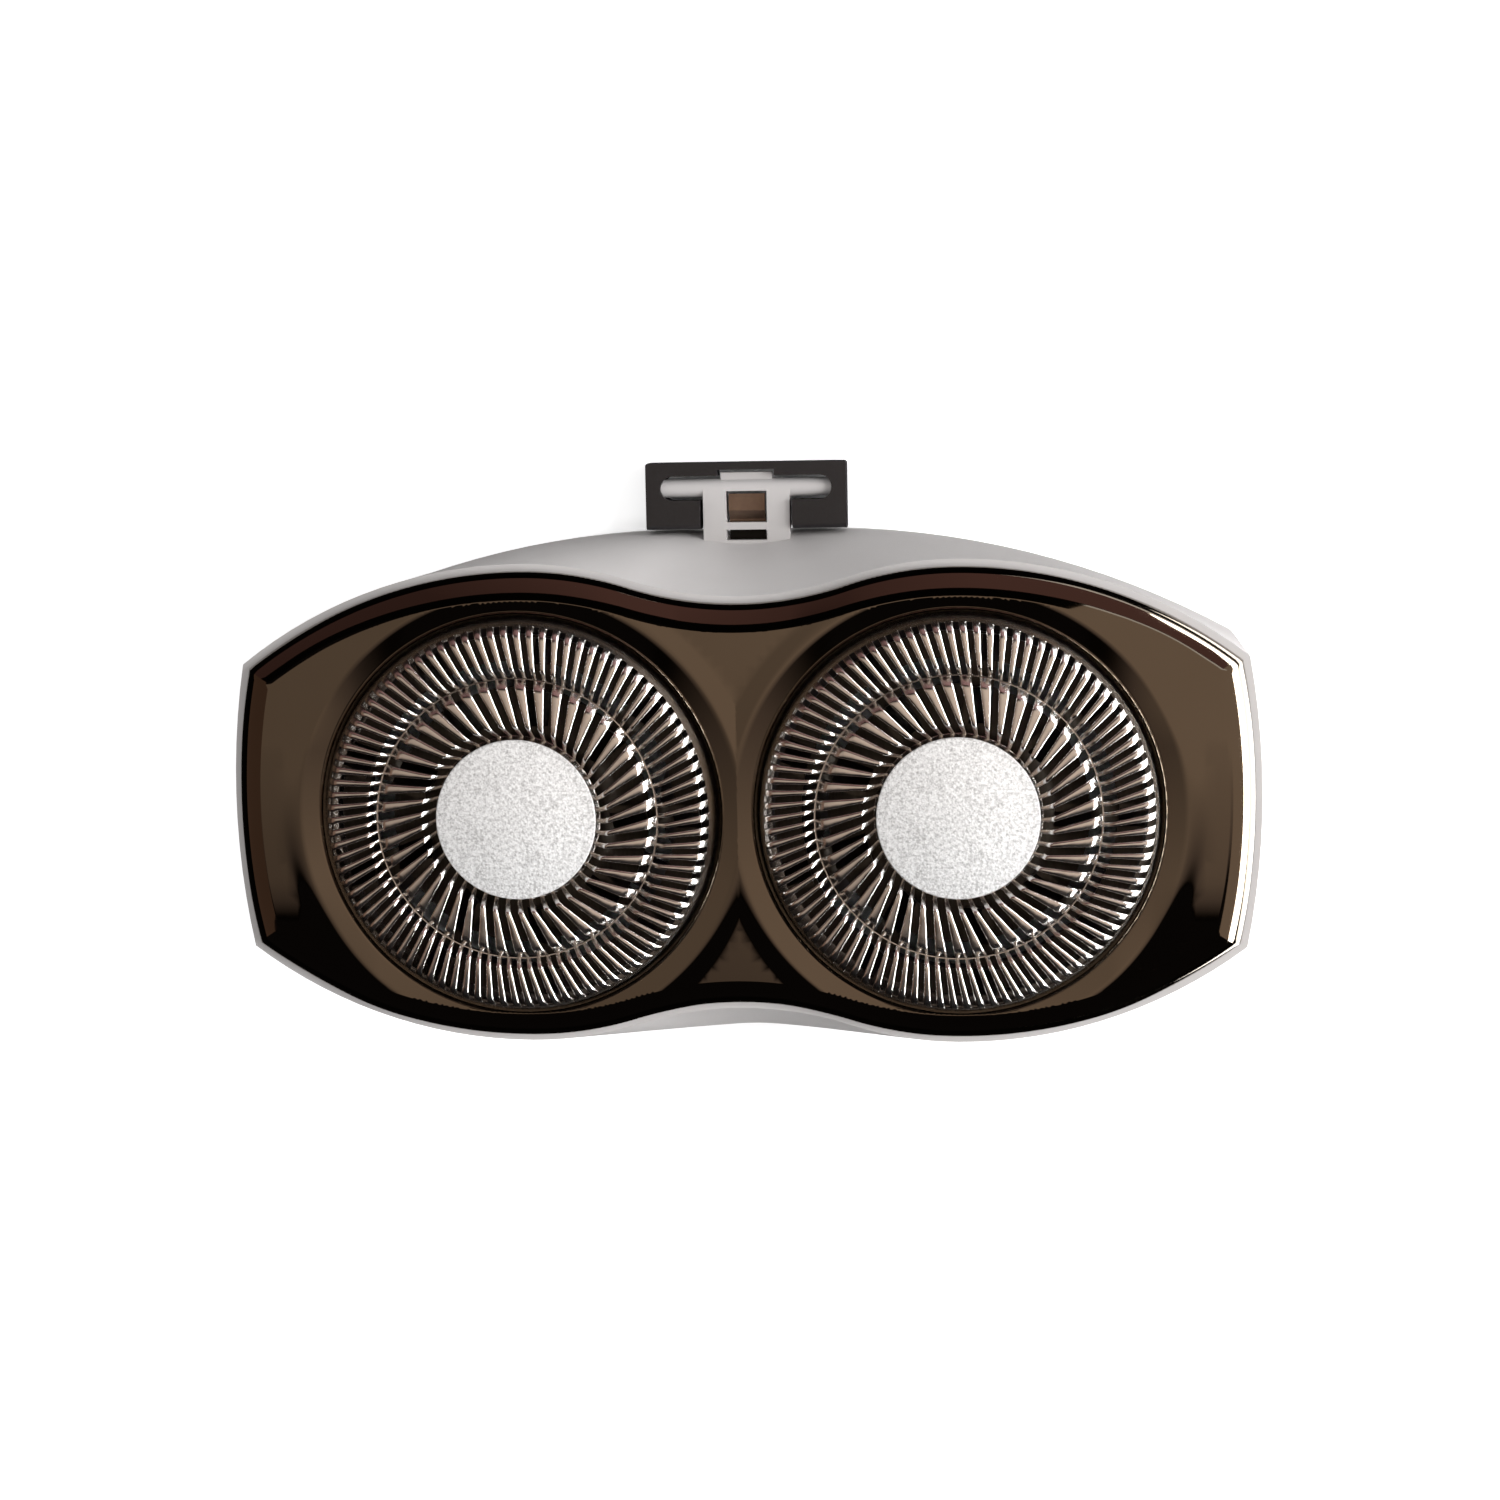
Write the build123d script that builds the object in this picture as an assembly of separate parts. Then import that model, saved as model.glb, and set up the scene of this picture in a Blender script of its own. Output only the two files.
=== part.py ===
from build123d import *
import math
import os

# A twin rotary shaver head, lying on its rear rim with the shaving face up.
# Millimetres. +Z is the shaving face, +X the long axis, +Y the hinge side, z = 0 the rear rim.

# Plan of the face plate
foil_bridge = 1.2            # between the flanges of the two foils
end_room = 5.0               # from a foil's flange to the crown of the bowed end
side_room = 2.12             # mean distance from a hole's edge to the crest of its lobe
plan_shift = 0.36            # the outline lies this far towards the hinge
end_bow = 0.8                # rise of each bowed end over its corners
crest_inset = 0.1            # lobe crests from the foil axes, towards the middle
waist_depth = 2.07           # waist below the lobe crests
plate_corner_y = 8.5         # half width between the corners of an end
corner_share = 0.56          # how far a corner moves in Y when the plan grows by one

# Face plate
plate_height = 2.0
plate_edge_round = 1.55      # rolled outer edge
plate_wall = 1.0             # skirt of the plate
plate_roof = 0.9             # sheet over the pocket, at the low faces
plate_hole_clearance = 0.35  # round each foil
collar_rise = 0.25           # low collar round each hole
collar_land = 0.24           # flat of a collar, from the hole
collar_slope = 0.16          # width of the slope beside it
boss_radius = 1.5            # screw bosses under the plate
boss_inset = 2.4             # from the corners of an end
boss_y = 5.0

# Housing
housing_height = 9.5
housing_wall = 1.4
housing_ledge = 0.4          # the housing shows this much round the plate
rear_flare = 0.2             # rear rim beyond the plate's ends
rear_crest_x = 4.0           # the rear rim is fullest near its middle
rear_crest_flare = 1.88      # rear rim beyond the plate's crests, waist and corners
rear_waist_flare = 3.75
rear_corner_flare = 0.9
deck_thickness = 1.2         # web that carries plate, springs and retainer
running_gap = 0.25           # round pieces that slide or turn in a hole

# Foils: two slotted tracks pressed from one sheet
foil_sheet = 0.25
foil_proud = 1.4             # tracks above the plate's collars
flange_width = 0.75
flange_thickness = 0.4
inner_track_start = 5.2      # radii of the flat track tops
outer_track_start = 8.95
outer_track_end = 11.3
track_gap = 0.8              # between the flat tops of the two tracks
foil_shoulder = 0.45         # rounded-off rim outside the outer track
track_slope = 0.3            # width of the slopes beside the tracks
groove_depth = 0.55          # groove between the tracks
seat_depth = 0.2             # seat of the cap below the tracks
inner_slots = 45
outer_slots = 90
inner_slot_width = 0.46
outer_slot_width = 0.38
slot_offset = 1.9            # the slots run along tangents of this circle
slot_end_gap = 0.06          # rim left at each end of a slot

# Caps and bushes in the foil centres
cap_radius = 4.8
cap_height = 0.5
cap_edge = 0.12
stem_radius = 2.2
stem_length = 1.3            # below the foil sheet
bush_wall = 1.0
bush_height = 0.8
pin_radius = 0.95            # pin of the cutter hub, in the stem's bore
pin_gap = 0.05
pin_length = 1.6

# Cutters
blade_count = 9              # on each of the two blade circles
blade_sheet = 0.35
blade_height = 1.7
blade_rake = 35.0            # lean of the blades into their turn, degrees
blade_gap = 0.06             # blade tips to foil
blade_side_gap = 0.3         # blade ends to the slopes of the tracks
spider_sheet = 0.35
spider_arm = 1.5             # width of the arms between the blade circles
hub_flange_radius = 4.3
hub_flange = 0.6
hub_tail_radius = 2.5
hub_tail_end = 6.5           # z of the rear end
hub_boss_radius = 2.3        # boss that carries the blade ring
hub_boss_height = 0.6
socket_length = 3.2          # drive socket for the spindle
socket_width = 2.0
socket_depth = 2.6

# Retainer and its lock
retainer_thickness = 1.4
retainer_rim = 2.6           # rim round the hair windows
retainer_half_width = 10.6   # of the middle bridge
retainer_bridge = 9.0        # length of the bridge along X
retainer_rim_gap = 0.15      # discs to the deck apertures
spoke_width = 1.8
spoke_count = 3
guide_wall = 1.6             # ring round the hub tail
knob_radius = 5.2
knob_height = 2.0
knob_play = 0.1
knob_lug_reach = 11.6
knob_lug_width = 3.0
knob_lug_height = 1.2
knob_grip_depth = 1.4
knob_grip_wall = 1.6
knob_flutes = 12
knob_flute_radius = 0.55
lock_boss_radius = 2.0
lock_head_radius = 2.7
lock_head_height = 0.8
lock_shank_radius = 0.9
lock_shank_length = 3.0
lock_slot_width = 0.6
lock_slot_depth = 0.4
catch_width = 4.8            # housing catches under the knob's lugs
catch_height = 1.0
catch_gap = 0.1
catch_bite = 0.7             # overlap of lug and catch

# Screws that hold the plate
screw_head_radius = 1.2
screw_head_height = 0.8
screw_shank_radius = 0.7
screw_hole_gap = 0.04
screw_tip = 0.4              # of thread above the pocket's roof

# Float springs under the foils
spring_sheet = 0.25
spring_width = 1.2
spring_fingers = 3
finger_sweep = 62.0          # degrees along the ring
finger_width = 0.9
finger_inset = 0.1           # fingers from the ring's outer edge

# Hinge at the +Y side
arm_low = 0.75               # hinge arm moulded to the housing
arm_thickness = 1.15
arm_width = 5.4
arm_root = 3.2               # inside the wall
pivot_radius = 0.58
pivot_half_length = 5.78
pivot_reach = 2.8            # pivot axis beyond the rim
nub_width = 3.2              # stop nub on the pivot bar
nub_reach = 0.95
window_width = 2.55
window_length = 1.95
window_edge = 0.2            # window to pivot axis
notch_reach = 0.2            # notch at the arm's root, beyond the rim
notch_length = 0.65
bracket_width = 12.5
bracket_thickness = 1.8
bracket_low = 0.4
bracket_outer = 1.6          # beyond the pivot axis
bracket_gap = 0.05           # inner edge to the fullest part of the rear rim
bracket_corner = 0.2
bracket_heel_round = 0.3     # lets the bracket swing past the wall
bracket_play = 0.18
socket_play = 0.04
socket_bite = 0.45           # how far the pivot's ends sit in the bracket
leaf_sheet = 0.25            # lift spring
leaf_width = 2.25
leaf_rise = 0.55             # its tip stands up in the window
stake_radius = 0.6
stake_height = 0.3           # below the arm
latch_length = 8.0           # ledge for the shaver's release latch, -Y side
latch_depth = 1.0
latch_low = 1.2
latch_height = 1.0

# Levels and places that follow from the sizes above
inner_track_end = outer_track_start - track_gap
foil_radius = outer_track_end + foil_shoulder
hole_radius = foil_radius + plate_hole_clearance
flange_radius = foil_radius + flange_width
aperture_radius = flange_radius + running_gap
retainer_radius = aperture_radius - retainer_rim_gap
retainer_window = retainer_radius - retainer_rim
foil_x = flange_radius + foil_bridge / 2
crest_x = foil_x - crest_inset
plate_half_length = foil_x + flange_radius + end_room
plate_crest_y = hole_radius + side_room
plate_waist_y = plate_crest_y - waist_depth
boss_x = plate_half_length - end_bow - boss_inset
rear_half_length = plate_half_length + rear_flare
rear_crest_y = plate_crest_y + rear_crest_flare
rear_waist_y = plate_waist_y + rear_waist_flare
rear_corner_y = plate_corner_y + rear_corner_flare
deck_low = housing_height - deck_thickness
plate_low_face = housing_height + plate_height - collar_rise
plate_top = housing_height + plate_height
pocket_roof = plate_low_face - plate_roof
foil_top = plate_top + foil_proud
foil_seat = foil_top - seat_depth
flange_low = pocket_roof - flange_thickness
retainer_low = deck_low - retainer_thickness
knob_top = retainer_low - knob_play
knob_low = knob_top - knob_height
lock_boss_low = knob_low - knob_play
catch_top = knob_top - knob_lug_height - catch_gap
blade_tip = foil_top - foil_sheet - blade_gap
spider_top = blade_tip - blade_height
spider_low = spider_top - spider_sheet
hub_flange_low = spider_low - hub_flange
hinge_wall_y = plan_shift + rear_waist_y
latch_wall_y = plan_shift - rear_waist_y
pivot_y = hinge_wall_y + pivot_reach
pivot_z = arm_low + arm_thickness / 2
arm_top = arm_low + arm_thickness
window_far = pivot_y - window_edge
window_near = window_far - window_length
sides = (("left", -foil_x), ("right", foil_x))


def head_outline(half_length, fullest_x, crest_y, waist_y, corner_y, grow=0.0):
    """Plan of the head: two lobes with a waist between them and bowed ends."""
    end = half_length + grow
    waist = Vector(0, waist_y + grow)
    crest = Vector(fullest_x, crest_y + grow)
    middle = (waist + crest) / 2
    corner = Vector(end - end_bow, corner_y + corner_share * grow)
    upper = Curve() + [
        TangentArc(waist, middle, tangent=(1, 0)),
        TangentArc(crest, middle, tangent=(-1, 0)),
        TangentArc(crest, corner, tangent=(1, 0)),
    ]
    bowed_end = ThreePointArc(corner, (end, 0), (corner.X, -corner.Y))
    right = Curve() + [upper, mirror(upper, Plane.XZ), bowed_end]
    return Pos(0, plan_shift) * make_face([right, mirror(right, Plane.YZ)])


def plate_plan(grow=0.0):
    """Outline of the face plate, grown outwards."""
    return head_outline(plate_half_length, crest_x, plate_crest_y, plate_waist_y, plate_corner_y, grow)


def rear_plan(grow=0.0):
    """Outline of the rear rim, an arch where the plate has its waist."""
    return head_outline(rear_half_length, rear_crest_x, rear_crest_y, rear_waist_y, rear_corner_y, grow)


def drum(radius, low, high, x=0.0, y=0.0):
    """Cylinder along Z between two levels."""
    return Pos(x, y, low) * Cylinder(radius, high - low, align=(Align.CENTER, Align.CENTER, Align.MIN))


def ring(inner, outer, low, high, x=0.0, y=0.0):
    """Flat ring between two levels."""
    return drum(outer, low, high, x, y) - drum(inner, low, high, x, y)


def block(x_from, x_to, y_from, y_to, z_from, z_to):
    """Box between two corners."""
    middle = Pos((x_from + x_to) / 2, (y_from + y_to) / 2, (z_from + z_to) / 2)
    return middle * Box(x_to - x_from, y_to - y_from, z_to - z_from)


def turned(points):
    """Solid of revolution about Z from (radius, z) points."""
    section = make_face(Polyline(points, close=True))
    return revolve(Plane.XZ * section, Axis.Z)


def around(shape, count, start=0.0):
    """Copies of a shape spaced evenly about Z."""
    return [Rot(0, 0, start + 360 * k / count) * shape for k in range(count)]


def rounded_slab(top):
    """Plate blank with a rolled upper edge."""
    slab = Pos(0, 0, housing_height) * extrude(plate_plan(), top - housing_height)
    upper_edges = slab.faces().sort_by(Axis.Z)[-1].edges()
    return fillet(upper_edges, plate_edge_round)


def face_plate():
    """Plated cover with a rolled edge, a low collar round each foil and screw bosses inside."""
    plate = rounded_slab(plate_low_face)
    collar_flat = hole_radius + collar_land
    collar = turned([
        (0, pocket_roof),
        (collar_flat + collar_slope, pocket_roof),
        (collar_flat + collar_slope, plate_low_face),
        (collar_flat, plate_top),
        (0, plate_top),
    ])
    for _, x in sides:
        plate += Pos(x, 0, 0) * collar
    pocket = Pos(0, 0, housing_height) * extrude(plate_plan(-plate_wall), pocket_roof - housing_height)
    plate -= pocket
    for x in (-boss_x, boss_x):
        for y in (-boss_y, boss_y):
            plate += drum(boss_radius, housing_height, pocket_roof, x, y)
            bore_top = pocket_roof + screw_tip
            plate -= drum(screw_shank_radius + screw_hole_gap, housing_height, bore_top, x, y)
    for _, x in sides:
        plate -= drum(hole_radius, housing_height, plate_top, x)
    return plate


def housing_loft(grow):
    """Solid between the barrel-shaped rear rim and the plan under the plate."""
    front = Pos(0, 0, housing_height) * plate_plan(housing_ledge + grow)
    return loft([rear_plan(grow), front])


def hinge_arm():
    """T-shaped arm on the +Y wall: a flat stem and a round pivot bar with a stop nub."""
    root = hinge_wall_y - arm_root
    stem = block(-arm_width / 2, arm_width / 2, root, pivot_y, arm_low, arm_top)
    bar = Pos(0, pivot_y, pivot_z) * Cylinder(pivot_radius, 2 * pivot_half_length, rotation=(0, 90, 0))
    nub = block(-nub_width / 2, nub_width / 2, pivot_y, pivot_y + nub_reach,
                pivot_z - pivot_radius / 2, pivot_z + pivot_radius / 2)
    return stem + bar + nub


def arm_openings():
    """Window and root notch through the hinge arm, and the channel under it for the lift spring."""
    half = window_width / 2
    window = block(-half, half, window_near, window_far, arm_low, arm_top)
    notch_far = hinge_wall_y + notch_reach
    notch = block(-half, half, notch_far - notch_length, notch_far, arm_low, arm_top)
    groove_half = leaf_width / 2 + socket_play
    groove = block(-groove_half, groove_half, hinge_wall_y - arm_root, window_near,
                   arm_low, arm_low + leaf_sheet)
    return [window, notch, groove]


def head_housing():
    """Grey moulded body: flared wall, deck with two apertures, catches and hinge arm."""
    outer = housing_loft(0)
    inner = housing_loft(-housing_wall)
    below_deck = block(-rear_half_length, rear_half_length, -pivot_y, pivot_y, 0, deck_low)
    shell = outer - (inner & below_deck)
    for _, x in sides:
        shell -= drum(aperture_radius, deck_low, housing_height, x)
    for x in (-boss_x, boss_x):
        for y in (-boss_y, boss_y):
            shell -= drum(screw_shank_radius + screw_hole_gap, deck_low, housing_height, x, y)
    catch_in = knob_lug_reach - catch_bite
    for side, wall_y in ((-1, latch_wall_y), (1, hinge_wall_y)):
        near, far = sorted((side * catch_in, wall_y - side * housing_wall / 2))
        catch = block(-catch_width / 2, catch_width / 2, near, far, catch_top - catch_height, catch_top)
        shell += catch & outer
    latch_far = latch_wall_y + housing_wall / 2
    latch_near = latch_wall_y + housing_wall + latch_depth
    latch = block(-latch_length / 2, latch_length / 2, latch_far, latch_near,
                  latch_low, latch_low + latch_height)
    shell += latch & outer
    shell = shell + hinge_arm() - arm_openings()
    stake_y = hinge_wall_y - arm_root + arm_root / 4
    return shell + drum(stake_radius, arm_low - stake_height, arm_low + leaf_sheet, 0, stake_y)


def track_slot(start, end, width):
    """One straight slot through a track, along a tangent of the slot circle."""
    near = math.sqrt(start ** 2 - slot_offset ** 2)
    far = math.sqrt(end ** 2 - slot_offset ** 2)
    return block(near, far, -slot_offset - width / 2, -slot_offset + width / 2,
                 foil_top - 2 * foil_sheet, foil_top + foil_sheet)


def foil():
    """Pressed steel cap with a cap seat, two slotted tracks, a groove between and a flange."""
    t = foil_sheet
    seat_edge = inner_track_start - track_slope
    seat_flat = cap_radius - track_slope
    groove_in = inner_track_end + track_slope
    groove_out = outer_track_start - track_slope
    groove = foil_top - groove_depth
    edge_drop = foil_radius - outer_track_end
    body = turned([
        (stem_radius, foil_seat),
        (seat_flat, foil_seat),
        (seat_edge, groove),
        (inner_track_start, foil_top),
        (inner_track_end, foil_top),
        (groove_in, groove),
        (groove_out, groove),
        (outer_track_start, foil_top),
        (outer_track_end, foil_top),
        (foil_radius, foil_top - edge_drop),
        (foil_radius, pocket_roof),
        (flange_radius, pocket_roof),
        (flange_radius, flange_low),
        (foil_radius - t, flange_low),
        (foil_radius - t, foil_top - edge_drop - t / 2),
        (outer_track_end - t / 2, foil_top - t),
        (outer_track_start + t / 2, foil_top - t),
        (groove_out + t / 2, groove - t),
        (groove_in - t / 2, groove - t),
        (inner_track_end - t / 2, foil_top - t),
        (inner_track_start + t / 2, foil_top - t),
        (seat_edge + t / 2, groove - t),
        (seat_flat - t / 2, foil_seat - t),
        (stem_radius, foil_seat - t),
    ])
    inner = track_slot(inner_track_start + slot_end_gap, inner_track_end - slot_end_gap, inner_slot_width)
    outer = track_slot(outer_track_start + slot_end_gap, outer_track_end - slot_end_gap, outer_slot_width)
    return body - (around(inner, inner_slots) + around(outer, outer_slots))


def foil_cap():
    """Silver disc in the foil's centre, with a stem whose blind bore guides the cutter."""
    disc = chamfer(drum(cap_radius, foil_seat, foil_seat + cap_height).edges().sort_by(Axis.Z)[-1], cap_edge)
    stem_end = foil_seat - foil_sheet - stem_length
    stem = drum(stem_radius, stem_end, foil_seat)
    bore = drum(pin_radius + pin_gap, stem_end, stem_end + pin_length)
    return disc + stem - bore


def foil_bush():
    """Ring pressed on the stem, which clamps the foil against its cap."""
    top = foil_seat - foil_sheet
    return ring(stem_radius, stem_radius + bush_wall, top - bush_height, top)


def blade(start, end):
    """One raked blade, flat at its tip, standing on the blade ring."""
    lean = blade_height * math.tan(math.radians(blade_rake))
    thick = blade_sheet / math.cos(math.radians(blade_rake))
    heel = -(lean + thick) / 2
    section = make_face(Polyline([
        (heel, spider_top),
        (heel + thick, spider_top),
        (heel + thick + lean, blade_tip),
        (heel + lean, blade_tip),
    ], close=True))
    return Pos(start, 0, 0) * extrude(Plane.YZ * section, end - start)


def cutter_blades():
    """Steel blade ring: two blade circles on thin rings, joined by arms."""
    t = foil_sheet
    inner_in = inner_track_start + t + blade_side_gap / 2
    inner_out = inner_track_end - t - blade_side_gap / 2
    outer_in = outer_track_start + t + blade_side_gap / 2
    outer_out = outer_track_end - t - blade_side_gap / 2
    rings = ring(hub_boss_radius, inner_out, spider_low, spider_top)
    rings += ring(outer_in, outer_out, spider_low, spider_top)
    arm = block(inner_in, outer_in + t, -spider_arm / 2, spider_arm / 2, spider_low, spider_top)
    rings += around(arm, blade_count)
    rings += around(blade(inner_in, inner_out), blade_count)
    rings += around(blade(outer_in, outer_out), blade_count)
    return rings


def cutter_hub():
    """Plastic hub: pin and boss above, flange under the blade ring, tail with the drive socket."""
    hub = turned([
        (0, hub_tail_end),
        (hub_tail_radius, hub_tail_end),
        (hub_tail_radius, hub_flange_low),
        (hub_flange_radius, hub_flange_low),
        (hub_flange_radius, spider_low),
        (hub_boss_radius, spider_low),
        (hub_boss_radius, spider_low + hub_boss_height),
        (pin_radius, spider_low + hub_boss_height),
        (pin_radius, foil_seat - foil_sheet - stem_length + pin_length / 2),
        (0, foil_seat - foil_sheet - stem_length + pin_length / 2),
    ])
    socket = block(-socket_length / 2, socket_length / 2, -socket_width / 2, socket_width / 2,
                   hub_tail_end, hub_tail_end + socket_depth)
    return hub - socket


def float_spring():
    """Flat spring ring on the retainer with fingers that rise to the foil's flange."""
    outer = flange_radius
    inner = outer - spring_width
    base = ring(inner, outer, deck_low, deck_low + spring_sheet)
    run = outer * math.sin(math.radians(finger_sweep))
    section = make_face(Polyline([
        (0, deck_low),
        (0, deck_low + spring_sheet),
        (run, flange_low),
        (run, flange_low - spring_sheet),
    ], close=True))
    ramp = extrude(Plane.YZ * section, outer)
    finger_edge = outer - finger_inset
    finger = ramp & ring(finger_edge - finger_width, finger_edge, deck_low, flange_low)
    return base + around(finger, spring_fingers)


def retainer_frame():
    """Rear frame: two spoked rings and a bridge, with the boss that the lock knob turns on."""
    frame = block(-retainer_bridge / 2, retainer_bridge / 2, -retainer_half_width, retainer_half_width,
                  retainer_low, deck_low)
    for _, x in sides:
        frame += drum(retainer_radius, retainer_low, deck_low, x)
    for _, x in sides:
        frame -= drum(retainer_window, retainer_low, deck_low, x)
        guide = hub_tail_radius + running_gap
        spoke = block(0, retainer_window + running_gap, -spoke_width / 2, spoke_width / 2,
                      retainer_low, deck_low)
        spider = drum(guide + guide_wall, retainer_low, deck_low) + around(spoke, spoke_count, 90)
        frame += Pos(x, 0, 0) * (spider - drum(guide, retainer_low, deck_low))
    frame += drum(lock_boss_radius, lock_boss_low, retainer_low)
    pilot_top = lock_boss_low + lock_shank_length
    return frame - drum(lock_shank_radius + screw_hole_gap, lock_boss_low, pilot_top)


def lock_knob():
    """Turning knob with two lugs over the housing's catches and a fluted grip."""
    disc = drum(knob_radius, knob_low, knob_top)
    lugs = block(-knob_lug_width / 2, knob_lug_width / 2, -knob_lug_reach, knob_lug_reach,
                 knob_top - knob_lug_height, knob_top)
    grip = ring(knob_radius - knob_grip_wall, knob_radius, knob_low - knob_grip_depth, knob_low)
    flute = drum(knob_flute_radius, knob_low - knob_grip_depth, knob_low, knob_radius)
    grip -= around(flute, knob_flutes)
    return disc + lugs + grip - drum(lock_boss_radius + pin_gap, knob_low, knob_top)


def lock_screw():
    """Shouldered screw that keeps the knob on the retainer's boss."""
    head = drum(lock_head_radius, lock_boss_low - lock_head_height, lock_boss_low)
    shank = drum(lock_shank_radius, lock_boss_low, lock_boss_low + lock_shank_length)
    slot_top = lock_boss_low - lock_head_height + lock_slot_depth
    slot = block(-lock_head_radius, lock_head_radius, -lock_slot_width / 2, lock_slot_width / 2,
                 lock_boss_low - lock_head_height, slot_top)
    return head + shank - slot


def plate_screws():
    """Four screws through the deck into the plate's bosses."""
    screws = []
    for x in (-boss_x, boss_x):
        for y in (-boss_y, boss_y):
            head = drum(screw_head_radius, deck_low - screw_head_height, deck_low, x, y)
            screws.append(head + drum(screw_shank_radius, deck_low, pocket_roof + screw_tip / 2, x, y))
    return Compound(children=screws)


def hinge_bracket():
    """Black bracket that plugs into the shaver body and turns on the hinge arm's pivot bar."""
    half = bracket_width / 2
    low = plan_shift + rear_crest_y + bracket_gap
    high = pivot_y + bracket_outer
    plate = block(-half, half, low, high, bracket_low, bracket_low + bracket_thickness)
    corners = plate.edges().filter_by(Axis.Z).sort_by(Axis.Y)[-2:]
    plate = fillet(corners, bracket_corner)
    heels = plate.edges().filter_by(Axis.X).sort_by(Axis.Y)[:2]
    plate = fillet(heels, bracket_heel_round)
    stem_half = arm_width / 2 + bracket_play
    top = bracket_low + bracket_thickness
    plate -= block(-stem_half, stem_half, low, pivot_y, bracket_low, top)
    bar_half = pivot_half_length - socket_bite
    bar_room = pivot_radius + bracket_play
    bar_bed = extrude(SlotOverall(2 * bar_half, 2 * bar_room), bracket_thickness)
    plate -= Pos(0, pivot_y, bracket_low) * bar_bed
    nub_half = nub_width / 2 + bracket_play
    plate -= block(-nub_half, nub_half, pivot_y, pivot_y + nub_reach + bracket_play, bracket_low, top)
    holes = Cylinder(pivot_radius + socket_play, 2 * pivot_half_length + bracket_play, rotation=(0, 90, 0))
    return plate - Pos(0, pivot_y, pivot_z) * holes


def lift_spring():
    """Bronze leaf staked in the groove under the hinge arm; its tip stands up in the arm's window."""
    root = hinge_wall_y - arm_root
    bend = window_near + bracket_play
    tip = window_far - bracket_play
    low = arm_low
    t = leaf_sheet
    section = make_face(Polyline([
        (root, low),
        (bend + t / 2, low),
        (bend + leaf_rise + t / 2, low + leaf_rise),
        (tip, low + leaf_rise),
        (tip, low + leaf_rise + t),
        (bend + leaf_rise, low + leaf_rise + t),
        (bend, low + t),
        (root, low + t),
    ], close=True))
    leaf = Pos(-leaf_width / 2, 0, 0) * extrude(Plane.YZ * section, leaf_width)
    return leaf - drum(stake_radius + socket_play, low, low + t, 0, root + arm_root / 4)


def write(name, shape):
    """Save one node."""
    export_step(shape, os.path.join("parts", name + ".step"))


os.makedirs("parts", exist_ok=True)
write("head_housing", head_housing())
write("face_plate", face_plate())
write("retainer_frame", retainer_frame())
write("lock_knob", lock_knob())
write("lock_screw", lock_screw())
write("plate_screws", plate_screws())
write("hinge_bracket", hinge_bracket())
write("lift_spring", lift_spring())
head_pieces = {
    "foil": foil(),
    "foil_cap": foil_cap(),
    "foil_bush": foil_bush(),
    "cutter_blades": cutter_blades(),
    "cutter_hub": cutter_hub(),
    "float_spring": float_spring(),
}
for side_name, x in sides:
    for piece_name, piece in head_pieces.items():
        write(side_name + "_" + piece_name, Pos(x, 0, 0) * piece)
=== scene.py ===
import math

import bmesh
import bpy
from mathutils import Matrix, Vector
from mathutils.geometry import delaunay_2d_cdt


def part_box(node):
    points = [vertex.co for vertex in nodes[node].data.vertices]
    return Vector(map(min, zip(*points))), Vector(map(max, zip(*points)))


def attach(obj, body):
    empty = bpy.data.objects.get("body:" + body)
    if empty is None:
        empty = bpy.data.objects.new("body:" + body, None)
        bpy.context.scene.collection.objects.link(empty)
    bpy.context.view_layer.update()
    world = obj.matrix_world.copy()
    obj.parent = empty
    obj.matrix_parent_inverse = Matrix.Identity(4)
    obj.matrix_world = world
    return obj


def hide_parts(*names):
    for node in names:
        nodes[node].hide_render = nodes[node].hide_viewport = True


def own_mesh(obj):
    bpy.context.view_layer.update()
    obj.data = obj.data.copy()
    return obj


# The scene is in metres; sizes below are in millimetres unless their comment says otherwise
MM = 0.001

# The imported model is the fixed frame
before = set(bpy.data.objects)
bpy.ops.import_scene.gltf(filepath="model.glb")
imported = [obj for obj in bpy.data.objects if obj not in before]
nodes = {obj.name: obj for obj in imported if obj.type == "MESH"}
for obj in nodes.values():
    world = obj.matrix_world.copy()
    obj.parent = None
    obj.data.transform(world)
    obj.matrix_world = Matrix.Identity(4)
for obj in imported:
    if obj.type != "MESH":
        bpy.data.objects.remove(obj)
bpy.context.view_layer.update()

# Camera, found from the plate's outline, the foils and the hinge in the photograph
aim_height = 10.0            # the level that the view is taken about
view_distance = 150.0
view_pitch = 8.02            # degrees about X, then Y, then Z
view_yaw = -5.18
view_roll = 0.31
view_shift = (-0.63, -3.70)  # across the view
lens_pixels = 2499.6         # focal length in pixels of the 1500 pixel image
image_pixels = 1500
sensor_width = 36.0
near_clip = 0.005            # m

# Face plate, the same plan as the solid
plate_half_length = 30.6
end_bow = 0.8
crest_x = 13.0
plate_crest_y = 14.22
plate_waist_y = 12.15
plan_shift = 0.36            # the outline lies this far towards the hinge
plate_corner_y = 8.5
corner_share = 0.56          # the corners move by this share when the outline grows
plate_edge_round = 1.62
roll_crease = 0.44           # sine of the roll's first angle: it starts at a crease
roll_reach = 0.985           # share of a quarter turn at which the roll ends, just short of upright
plate_skin = 0.9             # thickness of the cover
funnel_width = 1.3           # face falls towards each hole
funnel_slope = 0.17
funnel_blend = 0.2
collar_slope = 1.4           # soft slope from the collar down to the low face
collar_crown = 0.18
low_face_depth = 0.25        # low face under the plate's highest level
end_fall_start = (22.0, 4.0)  # ends of the face fall away beyond these, along X and from the axis
end_fall_blend = (5.0, 2.5)
end_fall_slope = 0.07
hole_round = 0.25
lip_reach = 0.97             # share of that rounding that is drawn, just short of upright
hole_clearance = 0.35

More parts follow.
